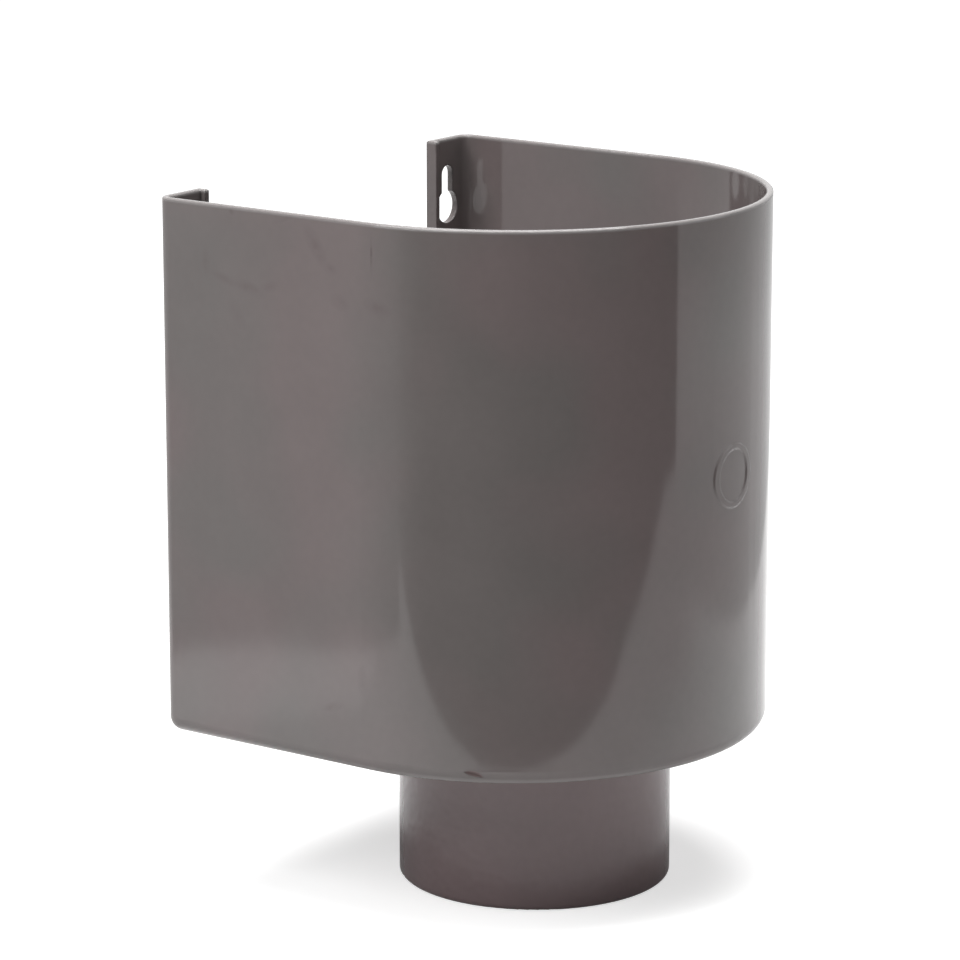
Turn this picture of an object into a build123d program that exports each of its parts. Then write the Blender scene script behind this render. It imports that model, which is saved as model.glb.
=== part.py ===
from build123d import *
import math
import os

# Rainwater hopper, moulded in one piece. Millimetres, +Z up. The origin is the centre of the outlet
# spigot's lower end. The nose points to -Y and the flat back, which hangs on the wall, faces +Y.

# Body, a D in plan
body_width = 185.0
side_length = 91.0
body_height = 197.0
wall = 2.5
floor_thickness = 2.5
back_corner_radius = 5.5
bottom_radius = 5.5
rim_chamfer = 0.5

# Outlet spigot, which slips into a downpipe socket
spigot_diameter = 100.0
spigot_length = 58.0
spigot_wall = 3.0
spigot_end_radius = 2.0
spigot_root_chamfer = 2.0
outlet_mouth_chamfer = 3.0
outlet_advance = 9.0

# Opening in the back, between the two returns that carry the keyholes
opening_width = 137.0
opening_depth = 100.0
opening_corner_radius = 12.0
lip_height = 2.2
lip_thickness = 2.0

# Keyholes, a round entry for the screw's head with a slot above it
keyhole_spacing = 157.0
keyhole_drop = 26.5
keyhole_entry_diameter = 13.0
keyhole_slot_width = 7.0
keyhole_slot_rise = 12.5

# Raised ring on the nose, a little to the right of its tip. Its inside is left bare.
ring_diameter = 23.5
ring_width = 2.4
ring_rise = 0.45
ring_turn = 2.0
ring_height = 102.5

# Nick in the rounded bottom edge, left of the nose, which slopes down towards the nose's tip
nick_angle = 63.5
nick_slope = 15.0
nick_turn = 16.0
nick_length = 8.4
nick_upper_width = 2.3
nick_lower_width = 0.5
nick_depth = 0.85

# Places that follow from the sizes
nose_radius = body_width / 2
nose_y = outlet_advance
wall_y = nose_y + side_length
underside_z = spigot_length
floor_z = underside_z + floor_thickness
rim_z = underside_z + body_height
spigot_radius = spigot_diameter / 2
bore_radius = spigot_radius - spigot_wall

# How far a cutting solid runs past the face that it cuts
overrun = 1.0


def plan(inset):
    """The D-shaped outline, moved in from the outer face by inset, with its back corners rounded."""
    radius = nose_radius - inset
    back = wall_y - inset
    straight = Polyline((radius, nose_y), (radius, back), (-radius, back), (-radius, nose_y))
    nose = ThreePointArc((-radius, nose_y), (0, nose_y - radius), (radius, nose_y))
    outline = make_face(straight.edges() + nose.edges())
    corners = outline.vertices().sort_by(Axis.Y)[-2:]
    return fillet(corners, back_corner_radius - inset)


def tub(inset, bottom, top):
    """A closed block with the D outline and a rounded bottom edge."""
    block = Pos(0, 0, bottom) * extrude(plan(inset), top - bottom)
    underside = block.faces().sort_by(Axis.Z)[0]
    return fillet(underside.edges(), bottom_radius - inset)


def shell():
    """The open-topped body with its floor, before the outlet and the back are cut."""
    return tub(0, underside_z, rim_z) - tub(wall, floor_z, rim_z + overrun)


def spigot_outside():
    """The spigot's outer form, with a rounded end and a bevelled root under the floor."""
    end = spigot_radius - spigot_end_radius
    root = spigot_radius + spigot_root_chamfer
    root_z = underside_z - spigot_root_chamfer
    inside_floor = underside_z + floor_thickness / 2
    with BuildSketch(Plane.XZ) as section:
        with BuildLine():
            Line((0, 0), (end, 0))
            RadiusArc((end, 0), (spigot_radius, spigot_end_radius), -spigot_end_radius)
            Polyline((spigot_radius, spigot_end_radius), (spigot_radius, root_z), (root, underside_z))
            Polyline((root, underside_z), (root, inside_floor), (0, inside_floor), (0, 0))
        make_face()
    return revolve(section.sketch, Axis.Z)


def outlet_bore():
    """The waterway through the floor and the spigot, with a conical mouth."""
    height = floor_z + 2 * overrun
    bore = Pos(0, 0, -overrun) * Cylinder(bore_radius, height, align=(Align.CENTER, Align.CENTER, Align.MIN))
    depth = outlet_mouth_chamfer + overrun
    mouth = Cone(bore_radius, bore_radius + depth, depth, align=(Align.CENTER, Align.CENTER, Align.MIN))
    return bore + Pos(0, 0, floor_z - outlet_mouth_chamfer) * mouth


def opening(grow, top):
    """Outline of the opening in the back, made larger by grow at its sides and bottom, up to top."""
    half = opening_width / 2 + grow
    low = rim_z - opening_depth - grow
    corners = ((-half, top), (-half, low), (half, low), (half, top))
    with BuildSketch(Plane.XZ) as outline:
        with BuildLine():
            FilletPolyline(*corners, radius=opening_corner_radius + grow)
            Line(corners[-1], corners[0])
        make_face()
    return outline.sketch


def from_back(outline, start, end):
    """A solid of the outline that runs from start to end, both measured forward from the wall face."""
    return extrude(Pos(0, wall_y - start, 0) * outline, end - start)


def opening_lip():
    """The lip that stands forward from the back, along the edge of the opening."""
    strip = opening(lip_thickness, rim_z) - opening(0, rim_z + overrun)
    return from_back(strip, wall / 2, wall + lip_height)


def keyhole(x):
    """Outline of one keyhole, with its round entry below its slot."""
    entry = Pos(x, rim_z - keyhole_drop) * Circle(keyhole_entry_diameter / 2)
    slot_middle = rim_z - keyhole_drop + keyhole_slot_rise / 2
    slot = Pos(x, slot_middle) * Rot(0, 0, 90) * SlotCenterToCenter(keyhole_slot_rise, keyhole_slot_width)
    return Plane.XZ * (entry + slot)


def nose_ring():
    """The raised ring, with flanks that slope at 45 degrees. Its root reaches into the wall."""
    root = wall / 2
    height = root + ring_rise + overrun
    foot = ring_diameter / 2 + root
    hollow = ring_diameter / 2 - ring_width - root
    outside = Cone(foot, foot - height, height, align=(Align.CENTER, Align.CENTER, Align.MIN))
    inside = Cone(hollow, hollow + height, height, align=(Align.CENTER, Align.CENTER, Align.MIN))
    band = Pos(0, root - nose_radius, underside_z + ring_height) * Rot(90, 0, 0) * (outside - inside)
    crest = Pos(0, 0, underside_z + ring_height) * Cylinder(nose_radius + ring_rise, ring_diameter + 2 * root)
    return Pos(0, nose_y, 0) * Rot(0, 0, ring_turn) * (band & crest)


def nick():
    """A short gouge across the rounded bottom edge, as if by a disc with a V-shaped rim, wider above."""
    disc_radius = (nick_length ** 2 / 4 + nick_depth ** 2) / (2 * nick_depth)
    face_radius = disc_radius - 2 * nick_depth
    upper = Cone(disc_radius, face_radius, 2 * nick_upper_width, align=(Align.CENTER, Align.CENTER, Align.MIN))
    lower = Cone(face_radius, disc_radius, 2 * nick_lower_width, align=(Align.CENTER, Align.CENTER, Align.MAX))
    stand_off = bottom_radius + disc_radius - nick_depth
    tool = Pos(stand_off, 0, 0) * Rot(-nick_turn, 0, 0) * (upper + lower)
    on_edge = Pos(nose_radius - bottom_radius, 0, underside_z + bottom_radius) * Rot(0, nick_slope, 0) * tool
    return Pos(0, nose_y, 0) * Rot(0, 0, -90 - nick_angle) * on_edge


def hopper_body():
    """The whole moulding."""
    body = shell() + spigot_outside() - outlet_bore()
    body -= from_back(opening(0, rim_z + overrun), -overrun, wall + overrun)
    body += opening_lip()
    for side in (-1, 1):
        body -= from_back(keyhole(side * keyhole_spacing / 2), -overrun, wall + overrun)
    body += nose_ring()
    rim = body.faces().sort_by(Axis.Z)[-1]
    body = chamfer(rim.edges(), rim_chamfer)
    return body - nick()


os.makedirs("parts", exist_ok=True)
body = hopper_body()
body.label = "hopper_body"
export_step(body, "parts/hopper_body.step")
print("volume mm3", round(body.volume), "solids", len(body.solids()), "valid", body.is_valid)
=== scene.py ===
import math

import bpy
from mathutils import Matrix, Vector


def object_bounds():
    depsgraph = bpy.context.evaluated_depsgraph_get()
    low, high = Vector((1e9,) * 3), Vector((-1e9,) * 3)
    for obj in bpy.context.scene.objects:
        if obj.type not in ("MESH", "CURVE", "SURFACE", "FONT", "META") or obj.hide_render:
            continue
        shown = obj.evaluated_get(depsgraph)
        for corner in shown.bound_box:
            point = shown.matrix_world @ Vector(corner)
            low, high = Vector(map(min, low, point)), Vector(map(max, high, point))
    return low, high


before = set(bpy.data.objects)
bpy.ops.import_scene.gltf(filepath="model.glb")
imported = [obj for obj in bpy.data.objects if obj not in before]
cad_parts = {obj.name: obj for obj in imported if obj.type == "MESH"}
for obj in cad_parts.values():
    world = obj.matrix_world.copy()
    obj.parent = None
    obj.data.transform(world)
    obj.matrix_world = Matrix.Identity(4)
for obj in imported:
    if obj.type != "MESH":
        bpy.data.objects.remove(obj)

# A rainwater hopper in dark grey plastic, on a plain white floor under soft studio light. Metres,
# in the frame of the CAD part: the origin is the centre of the spigot's lower end, and the nose
# points to -Y. Where one range of numbers is turned into another, their first numbers belong
# together, and so do their second ones.
cad_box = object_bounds()
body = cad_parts["hopper_body"]

# The photograph's camera, fitted to the edges of the object: degrees, and millimetres for the lens
CAMERA_PLACE = (-1.28784, -0.91037, 0.51491)
CAMERA_YAW = 54.011
CAMERA_PITCH = 13.097
CAMERA_LENS = 166.88
SENSOR = 36.0
CLIP_START = 0.05
CLIP_END = 60.0

# Places on the part that the material follows
NOSE_RADIUS = 0.0925
NOSE_Y = 0.009
UNDERSIDE_Z = 0.058
RIM_Z = 0.255
BOTTOM_RADIUS = 0.0055

# The nick: its middle, how far from there it can reach, and the depths below the true surface at
# which its colour is full and at which it ends
NICK_PLACE = (-0.0826, -0.0322, 0.0621)
NICK_REACH = 0.0065
NICK_DEPTHS = (0.00015, 0.00008)

# Smudges and scuffs, by their tilt from upright towards +Y in degrees: place, half length, half
# width, strength
MARKS = {
    0: (
        ((-0.0925, 0.0040, 0.2441), 0.0085, 0.0007, 0.60),
        ((-0.0925, 0.0772, 0.2341), 0.0060, 0.0024, 0.22),
        ((-0.0925, 0.0654, 0.2534), 0.0018, 0.0015, 0.40),
        ((-0.0925, 0.0088, 0.0917), 0.0065, 0.0026, 0.35),
        ((0.0290, -0.0788, 0.1878), 0.0045, 0.0024, 0.40),
    ),
    33: (
        ((-0.0925, 0.0280, 0.2446), 0.0100, 0.0034, 0.28),
        ((-0.0925, 0.0635, 0.2168), 0.0075, 0.0032, 0.18),
    ),
    75: (
        ((-0.0925, 0.0216, 0.2375), 0.0038, 0.0026, 0.25),
        ((-0.0925, 0.0690, 0.2289), 0.0100, 0.0022, 0.22),
        ((-0.0925, 0.0582, 0.2268), 0.0090, 0.0028, 0.32),
        ((-0.0925, 0.0178, 0.2260), 0.0050, 0.0034, 0.25),
        ((-0.0925, 0.0018, 0.2258), 0.0070, 0.0032, 0.28),
    ),
    110: (
        ((-0.0925, 0.0487, 0.2281), 0.0060, 0.0024, 0.20),
        ((-0.0925, 0.0421, 0.2528), 0.0060, 0.0013, 0.20),
        ((-0.0925, 0.0218, 0.0802), 0.0060, 0.0020, 0.35),
    ),
}

# How deep a mark reaches across the surface, the share of its size at which it starts to fade and
# ends, and how the speckle breaks it up
MARK_DEPTH = 0.003
MARK_FADE = (0.1, 1.0)
MARK_SPECKLE = (0.35, 0.6)
MARK_LEFT = (0.4, 1.0)

# Colours, linear
WARM_PLASTIC = (0.181, 0.131, 0.134, 1.0)
PLAIN_PLASTIC = (0.137, 0.123, 0.120, 1.0)
NICK_COLOUR = (0.140, 0.100, 0.098, 1.0)
# Painted highlight colour for the bottom edge and the rim
EDGE_HIGHLIGHT_COLOUR = (0.260, 0.245, 0.240, 1.0)
MARK_COLOUR = (0.080, 0.056, 0.060, 1.0)
FLOOR_COLOUR = (0.66, 0.66, 0.66, 1.0)
WHITE = (1.0, 1.0, 1.0, 1.0)

# Hue: a noise turned into the share of the plain plastic, which is none on the spigot. The heights
# are those at which the body's share begins and is full.
HUE_SCALE = 20.0
HUE_NOISE = (0.38, 0.62)
PLAIN_SHARE = (0.65, 1.0)
SPIGOT_TOP = (UNDERSIDE_Z - 0.004, UNDERSIDE_Z)

# Tone and gloss: a cloudy noise and a fine speckle, each with the range that is used of it
CLOUD_SCALE = 34.0
SPECK_SCALE = 330.0
NOISE_RANGE = (0.3, 0.7)
CLOUD_TONE = (0.96, 1.02)
SPECK_TONE = (-0.012, 0.012)
ROUGHNESS = (0.07, 0.10)
MARK_DULLNESS = 0.15
NICK_DULLNESS = 0.4
REFRACTION = 1.5

# Painted highlights along the bottom edge and the rim: the heights over which each comes or goes,
# and how strong it is. The lower one starts just above the flat underside, which stays as it is. It
# goes by height alone, so it also lightens the inner floor slightly, and the outlet's mouth.
UNDERSIDE_END = (UNDERSIDE_Z + 0.00005, UNDERSIDE_Z + 0.0002)
BOTTOM_HIGHLIGHT = (UNDERSIDE_Z + 0.0010, UNDERSIDE_Z + 0.0028)
BOTTOM_HIGHLIGHT_STRENGTH = 0.8
RIM_HIGHLIGHT = (RIM_Z - 0.0014, RIM_Z - 0.0008)
RIM_HIGHLIGHT_STRENGTH = 0.6

# Surface: the rounding of edges, which is larger at the rim, a slight waviness all over, and a
# raggedness for the bottom edge. The raggedness goes by height alone too, so it is also full on the
# spigot and nearly full on the inner floor.
RIM_START = (RIM_Z - 0.005, RIM_Z - 0.003)
ROUNDING = (0.0008, 0.0017)
ROUNDING_SAMPLES = 5
WAVE_SCALE = 11.0
WAVE_HEIGHT = 0.0002
RAGGED_BOTTOM = (UNDERSIDE_Z + 0.002, UNDERSIDE_Z + 0.006)
RAGGED_HEIGHT = 0.0001

# Softboxes: name, azimuth from +X in degrees, distance, height of the centre, width, height, power
# in watts
LAMPS = (
    ("key_light", 165, 0.95, 1.00, 0.7, 0.7, 10.5),
    ("side_light", 305, 1.22, 0.58, 0.7, 0.7, 2.5),
    ("top_light", 60, 0.10, 1.5, 1.2, 1.2, 35.0),
)
SKY = 0.03

# Low upright cards that show in the gloss alone: name, points of the lower edge on the floor, and
# how the brightness runs from one X to another
CARDS = (
    ("dark_card", (
        (-0.65, 0.185), (-0.613, 0.155), (-0.471, 0.055), (-0.344, -0.053), (-0.27, -0.13),
        (-0.165, -0.30), (-0.111, -0.387), (-0.078, -0.465), (-0.014, -0.544), (0.074, -0.649),
        (0.160, -0.745), (0.245, -0.76),
    ), (-0.65, -0.42), (0.45, 0.0)),
    ("grey_card", (
        (-0.250, 0.370), (-0.336, 0.298), (-0.357, 0.303), (-0.378, 0.294), (-0.387, 0.282),
        (-0.382, 0.272), (-0.381, 0.257), (-0.396, 0.236), (-0.410, 0.212), (-0.454, 0.162),
        (-0.480, 0.120),
    ), (-0.48, -0.39), (0.55, 0.84)),
)
CARD_HEIGHT = 0.26

# The floor in the gloss. A light sheet runs under the object: the direction across it, the half of
# its width, its soft edge, and its brightness from one place across it to another.
FLOOR_SIZE = 30.0
ACROSS_SHEET = (0.82, -0.57, 0.0)
SHEET_HALF_WIDTH = 0.456
SHEET_SOFT_EDGE = 0.012
SHEET_SPAN = (-0.25, 0.25)
SHEET_BRIGHTNESS = (0.42, 0.56)

# A brighter patch on the sheet
PATCH_PLACE = (-0.36, 0.30, 0.0)
PATCH_RADIUS = 0.122
PATCH_SOFT_EDGE = 0.01
PATCH_BRIGHTNESS = 0.46

# The sheet is darker under the object, by distance from the origin, and towards the dark card,
# along a direction away from it
NEAR_SPAN = (0.05, 0.30)
NEAR_SHARE = (0.15, 1.0)
AWAY_FROM_CARD = (0.64, 0.77, 0.0)
DUSK_SPAN = (-0.273, -0.133)
DUSK_SHARE = (0.1, 1.0)

# Far from the object the floor is lighter again
FAR_SPAN = (0.6, 1.1)
FAR_BRIGHTNESS = (0.04, 0.48)

# The floor's glow to the eye, by distance from the origin, which turns it white
EYE_SPAN = (0.25, 1.2)
EYE_BRIGHTNESS = (0.63, 1.0)


class Nodes:
    """Adds nodes to one node tree, with their inputs given by name or number."""

    def __init__(self, owner):
        owner.use_nodes = True
        self.tree = owner.node_tree
        self.tree.nodes.clear()

    def add(self, kind, inputs=None, **settings):
        node = self.tree.nodes.new(kind)
        for name, value in settings.items():
            setattr(node, name, value)
        for socket, value in (inputs or {}).items():
            if isinstance(value, bpy.types.NodeSocket):
                self.tree.links.new(value, node.inputs[socket])
            else:
                node.inputs[socket].default_value = value
        return node

    def noise(self, point, scale, detail):
        inputs = {"Vector": point, "Scale": scale, "Detail": detail}
        return self.add("ShaderNodeTexNoise", inputs).outputs["Fac"]

    def remap(self, value, span, result):
        """A value that runs over span, turned into one that runs over result."""
        inputs = {"Value": value, "From Min": span[0], "From Max": span[1]}
        inputs.update({"To Min": result[0], "To Max": result[1]})
        return self.add("ShaderNodeMapRange", inputs).outputs["Result"]

    def math(self, operation, first, second=0.0):
        return self.add("ShaderNodeMath", {0: first, 1: second}, operation=operation).outputs[0]

    def vector_math(self, operation, inputs):
        return self.add("ShaderNodeVectorMath", inputs, operation=operation).outputs

    def length(self, vector):
        return self.vector_math("LENGTH", {0: vector})["Value"]

    def distance(self, first, second):
        return self.vector_math("DISTANCE", {0: first, 1: second})["Value"]

    def along(self, vector, direction):
        return self.vector_math("DOT_PRODUCT", {0: vector, 1: direction})["Value"]

    def mix_value(self, share, first, second):
        """A mix of two numbers."""
        inputs = {"Factor": share, 2: first, 3: second}
        return self.add("ShaderNodeMix", inputs, data_type="FLOAT").outputs[0]

    def mix(self, share, first, second):
        """A mix of two colours."""
        inputs = {"Factor": share, 6: first, 7: second}
        return self.add("ShaderNodeMix", inputs, data_type="RGBA").outputs[2]

    def bump(self, height, distance, normal):
        inputs = {"Height": height, "Strength": 1.0, "Distance": distance, "Normal": normal}
        return self.add("ShaderNodeBump", inputs).outputs[0]


def nick_mask(nodes, point, height):
    """1 on the faces of the nick, which lie below the true bottom edge, and 0 elsewhere."""
    parts = nodes.add("ShaderNodeSeparateXYZ", {0: point}).outputs
    aside = nodes.math("SUBTRACT", parts["Y"], NOSE_Y)
    radius = nodes.length(nodes.add("ShaderNodeCombineXYZ", {0: parts["X"], 1: aside}).outputs[0])
    out = nodes.math("SUBTRACT", radius, NOSE_RADIUS - BOTTOM_RADIUS)
    down = nodes.math("SUBTRACT", height, UNDERSIDE_Z + BOTTOM_RADIUS)
    down = nodes.math("MINIMUM", down, 0.0)
    level = nodes.length(nodes.add("ShaderNodeCombineXYZ", {0: out, 1: down}).outputs[0])
    sunk = nodes.remap(level, [BOTTOM_RADIUS - depth for depth in NICK_DEPTHS], (1.0, 0.0))
    reach = nodes.distance(point, NICK_PLACE)
    return nodes.math("MULTIPLY", sunk, nodes.math("LESS_THAN", reach, NICK_REACH))


def marks_mask(nodes, point, speck):
    """How strongly the smudges and scuffs show at a point, broken up by the fine noise speck."""
    total = 0.0
    for tilt, marks in MARKS.items():
        turn = math.radians(tilt)
        inputs = {"Vector": point, "Angle": turn}
        turned = nodes.add("ShaderNodeVectorRotate", inputs, rotation_type="X_AXIS").outputs[0]
        for place, half_length, half_width, strength in marks:
            size = Vector((MARK_DEPTH, half_width, half_length))
            middle = Matrix.Rotation(turn, 3, "X") @ Vector(place)
            scale = [1 / side for side in size]
            shift = [-part / side for part, side in zip(middle, size)]
            local = nodes.vector_math("MULTIPLY_ADD", {0: turned, 1: scale, 2: shift})["Vector"]
            spot = nodes.remap(nodes.length(local), MARK_FADE, (strength, 0.0))
            total = nodes.math("MAXIMUM", total, spot)
    return nodes.math("MULTIPLY", total, nodes.remap(speck, MARK_SPECKLE, MARK_LEFT))


def painted_highlight_mask(nodes, height):
    """How much painted highlight lightens the plastic at a height: the bottom edge and the rim."""
    above = nodes.remap(height, UNDERSIDE_END, (0.0, 1.0))
    below = nodes.remap(height, BOTTOM_HIGHLIGHT, (BOTTOM_HIGHLIGHT_STRENGTH, 0.0))
    rim = nodes.remap(height, RIM_HIGHLIGHT, (0.0, RIM_HIGHLIGHT_STRENGTH))
    return nodes.math("MAXIMUM", nodes.math("MULTIPLY", above, below), rim)


def plastic_material():
    """Dark grey glossy moulded plastic, slightly wavy, with faint smudges and handling marks."""
    material = bpy.data.materials.new("grey_plastic_moulded")
    nodes = Nodes(material)
    point = nodes.add("ShaderNodeTexCoord").outputs["Object"]
    height = nodes.add("ShaderNodeSeparateXYZ", {0: point}).outputs["Z"]
    cloud = nodes.noise(point, CLOUD_SCALE, detail=2.0)
    speck = nodes.noise(point, SPECK_SCALE, detail=0.0)
    marks = marks_mask(nodes, point, speck)
    nick = nick_mask(nodes, point, height)

    plain = nodes.remap(nodes.noise(point, HUE_SCALE, detail=1.0), HUE_NOISE, PLAIN_SHARE)
    plain = nodes.math("MULTIPLY", plain, nodes.remap(height, SPIGOT_TOP, (0.0, 1.0)))
    hue = nodes.mix(plain, WARM_PLASTIC, PLAIN_PLASTIC)
    cloud_tone = nodes.remap(cloud, NOISE_RANGE, CLOUD_TONE)
    tone = nodes.math("ADD", cloud_tone, nodes.remap(speck, NOISE_RANGE, SPECK_TONE))
    toned = nodes.vector_math("SCALE", {0: hue, "Scale": tone})["Vector"]
    marked = nodes.mix(marks, toned, MARK_COLOUR)
    # Painted highlights: the bottom edge and the rim are coloured lighter
    highlighted = nodes.mix(painted_highlight_mask(nodes, height), marked, EDGE_HIGHLIGHT_COLOUR)
    colour = nodes.mix(nick, highlighted, NICK_COLOUR)

    mark_dull = nodes.math("MULTIPLY", marks, MARK_DULLNESS)
    dull = nodes.math("MAXIMUM", mark_dull, nodes.math("MULTIPLY", nick, NICK_DULLNESS))
    roughness = nodes.math("ADD", nodes.remap(cloud, NOISE_RANGE, ROUGHNESS), dull)

    radius = nodes.remap(height, RIM_START, ROUNDING)
    rounded = nodes.add("ShaderNodeBevel", {"Radius": radius}, samples=ROUNDING_SAMPLES).outputs[0]
    wavy = nodes.bump(nodes.noise(point, WAVE_SCALE, detail=1.0), WAVE_HEIGHT, rounded)
    ragged = nodes.math("MULTIPLY", speck, nodes.remap(height, RAGGED_BOTTOM, (1.0, 0.0)))
    normal = nodes.bump(ragged, RAGGED_HEIGHT, wavy)

    inputs = {"Base Color": colour, "Roughness": roughness, "IOR": REFRACTION, "Normal": normal}
    shader = nodes.add("ShaderNodeBsdfPrincipled", inputs)
    nodes.add("ShaderNodeOutputMaterial", {"Surface": shader.outputs[0]})
    return material


def seen_directly(nodes):
    """1 for what the camera sees, straight or in gloss or glass, and 0 for light on surfaces."""
    path = nodes.add("ShaderNodeLightPath").outputs
    seen = nodes.math("MAXIMUM", path["Is Camera Ray"], path["Is Glossy Ray"])
    return nodes.math("MAXIMUM", seen, path["Is Transmission Ray"])


def floor_in_gloss(nodes, point, distance):
    """How bright the floor glows in the object's gloss.

    It is a light sheet that runs under the object, with a brighter patch on it. The sheet is darker
    under the object and towards the dark card. The floor beside the sheet is dark, and it gets
    lighter again far away."""
    across = nodes.along(point, ACROSS_SHEET)
    sheet = nodes.remap(across, SHEET_SPAN, SHEET_BRIGHTNESS)
    patch_edge = (PATCH_RADIUS - PATCH_SOFT_EDGE, PATCH_RADIUS + PATCH_SOFT_EDGE)
    patch = nodes.remap(nodes.distance(point, PATCH_PLACE), patch_edge, (PATCH_BRIGHTNESS, 0.0))
    sheet_edge = (SHEET_HALF_WIDTH - SHEET_SOFT_EDGE, SHEET_HALF_WIDTH + SHEET_SOFT_EDGE)
    inside = nodes.remap(nodes.math("ABSOLUTE", across), sheet_edge, (1.0, 0.0))
    bright = nodes.math("MULTIPLY", nodes.math("ADD", sheet, patch), inside)
    open_air = nodes.remap(distance, NEAR_SPAN, NEAR_SHARE)
    dusk = nodes.remap(nodes.along(point, AWAY_FROM_CARD), DUSK_SPAN, DUSK_SHARE)
    near = nodes.math("MULTIPLY", nodes.math("MULTIPLY", bright, open_air), dusk)
    return nodes.math("MAXIMUM", near, nodes.remap(distance, FAR_SPAN, FAR_BRIGHTNESS))


def floor_material():
    """White to the eye, with the object's shadow, and grey as a source of bounced light."""
    material = bpy.data.materials.new("floor_white")
    nodes = Nodes(material)
    diffuse = nodes.add("ShaderNodeBsdfDiffuse", {"Color": FLOOR_COLOUR})
    point = nodes.add("ShaderNodeTexCoord").outputs["Object"]
    distance = nodes.length(point)
    to_eye = nodes.remap(distance, EYE_SPAN, EYE_BRIGHTNESS)
    to_gloss = floor_in_gloss(nodes, point, distance)
    path = nodes.add("ShaderNodeLightPath").outputs
    glow = nodes.mix_value(path["Is Camera Ray"], to_gloss, to_eye)
    strength = nodes.math("MULTIPLY", glow, seen_directly(nodes))
    emission = nodes.add("ShaderNodeEmission", {"Color": WHITE, "Strength": strength})
    both = nodes.add("ShaderNodeAddShader", {0: diffuse.outputs[0], 1: emission.outputs[0]})
    nodes.add("ShaderNodeOutputMaterial", {"Surface": both.outputs[0]})
    return material


def card_material(name, span, brightness):
    """A glow whose brightness runs along X."""
    material = bpy.data.materials.new(name)
    nodes = Nodes(material)
    point = nodes.add("ShaderNodeTexCoord").outputs["Object"]
    across = nodes.add("ShaderNodeSeparateXYZ", {0: point}).outputs["X"]
    strength = nodes.remap(across, span, brightness)
    emission = nodes.add("ShaderNodeEmission", {"Color": WHITE, "Strength": strength})
    nodes.add("ShaderNodeOutputMaterial", {"Surface": emission.outputs[0]})
    return material


def make_floor():
    bpy.ops.mesh.primitive_plane_add(size=FLOOR_SIZE, location=(0, 0, cad_box[0].z))
    floor = bpy.context.object
    floor.name = "floor"
    floor.data.materials.append(floor_material())


def make_card(name, points, span, brightness):
    """A low upright card along the given points, which only the gloss on the object shows."""
    floor_z = cad_box[0].z
    low = [(x, y, floor_z) for x, y in points]
    high = [(x, y, floor_z + CARD_HEIGHT) for x, y in points]
    count = len(points)
    panels = [(i, i + 1, count + i + 1, count + i) for i in range(count - 1)]
    mesh = bpy.data.meshes.new(name)
    mesh.from_pydata(low + high, [], panels)
    mesh.materials.append(card_material(name, span, brightness))
    card = bpy.data.objects.new(name, mesh)
    bpy.context.scene.collection.objects.link(card)
    card.visible_camera = False
    card.visible_diffuse = False
    card.visible_shadow = False


def make_world():
    world = bpy.data.worlds.new("studio")
    bpy.context.scene.world = world
    nodes = Nodes(world)
    strength = nodes.remap(seen_directly(nodes), (0.0, 1.0), (SKY, 1.0))
    background = nodes.add("ShaderNodeBackground", {"Color": WHITE, "Strength": strength})
    nodes.add("ShaderNodeOutputWorld", {"Surface": background.outputs[0]})


def make_softbox(name, azimuth, distance, height, width, tall, power):
    """A rectangular lamp that faces the middle of the object."""
    lamp = bpy.data.lights.new(name, "AREA")
    lamp.shape = "RECTANGLE"
    lamp.size = width
    lamp.size_y = tall
    lamp.energy = power
    box = bpy.data.objects.new(name, lamp)
    bpy.context.scene.collection.objects.link(box)
    turn = math.radians(azimuth)
    place = Vector((distance * math.cos(turn), distance * math.sin(turn), height))
    middle = (cad_box[0] + cad_box[1]) / 2
    box.location = place
    box.rotation_euler = (middle - place).to_track_quat("-Z", "Y").to_euler()
    box.visible_camera = False


def make_camera():
    camera = bpy.data.objects.new("camera", bpy.data.cameras.new("camera"))
    bpy.context.scene.collection.objects.link(camera)
    camera.location = CAMERA_PLACE
    camera.rotation_euler = (math.radians(90 - CAMERA_PITCH), 0, -math.radians(CAMERA_YAW))
    camera.data.sensor_width = SENSOR
    camera.data.lens = CAMERA_LENS
    camera.data.clip_start = CLIP_START
    camera.data.clip_end = CLIP_END
    bpy.context.scene.camera = camera


body.data.materials.clear()
body.data.materials.append(plastic_material())
make_floor()
make_world()
for card in CARDS:
    make_card(*card)
for lamp in LAMPS:
    make_softbox(*lamp)
make_camera()
bpy.context.scene.view_settings.view_transform = "Standard"
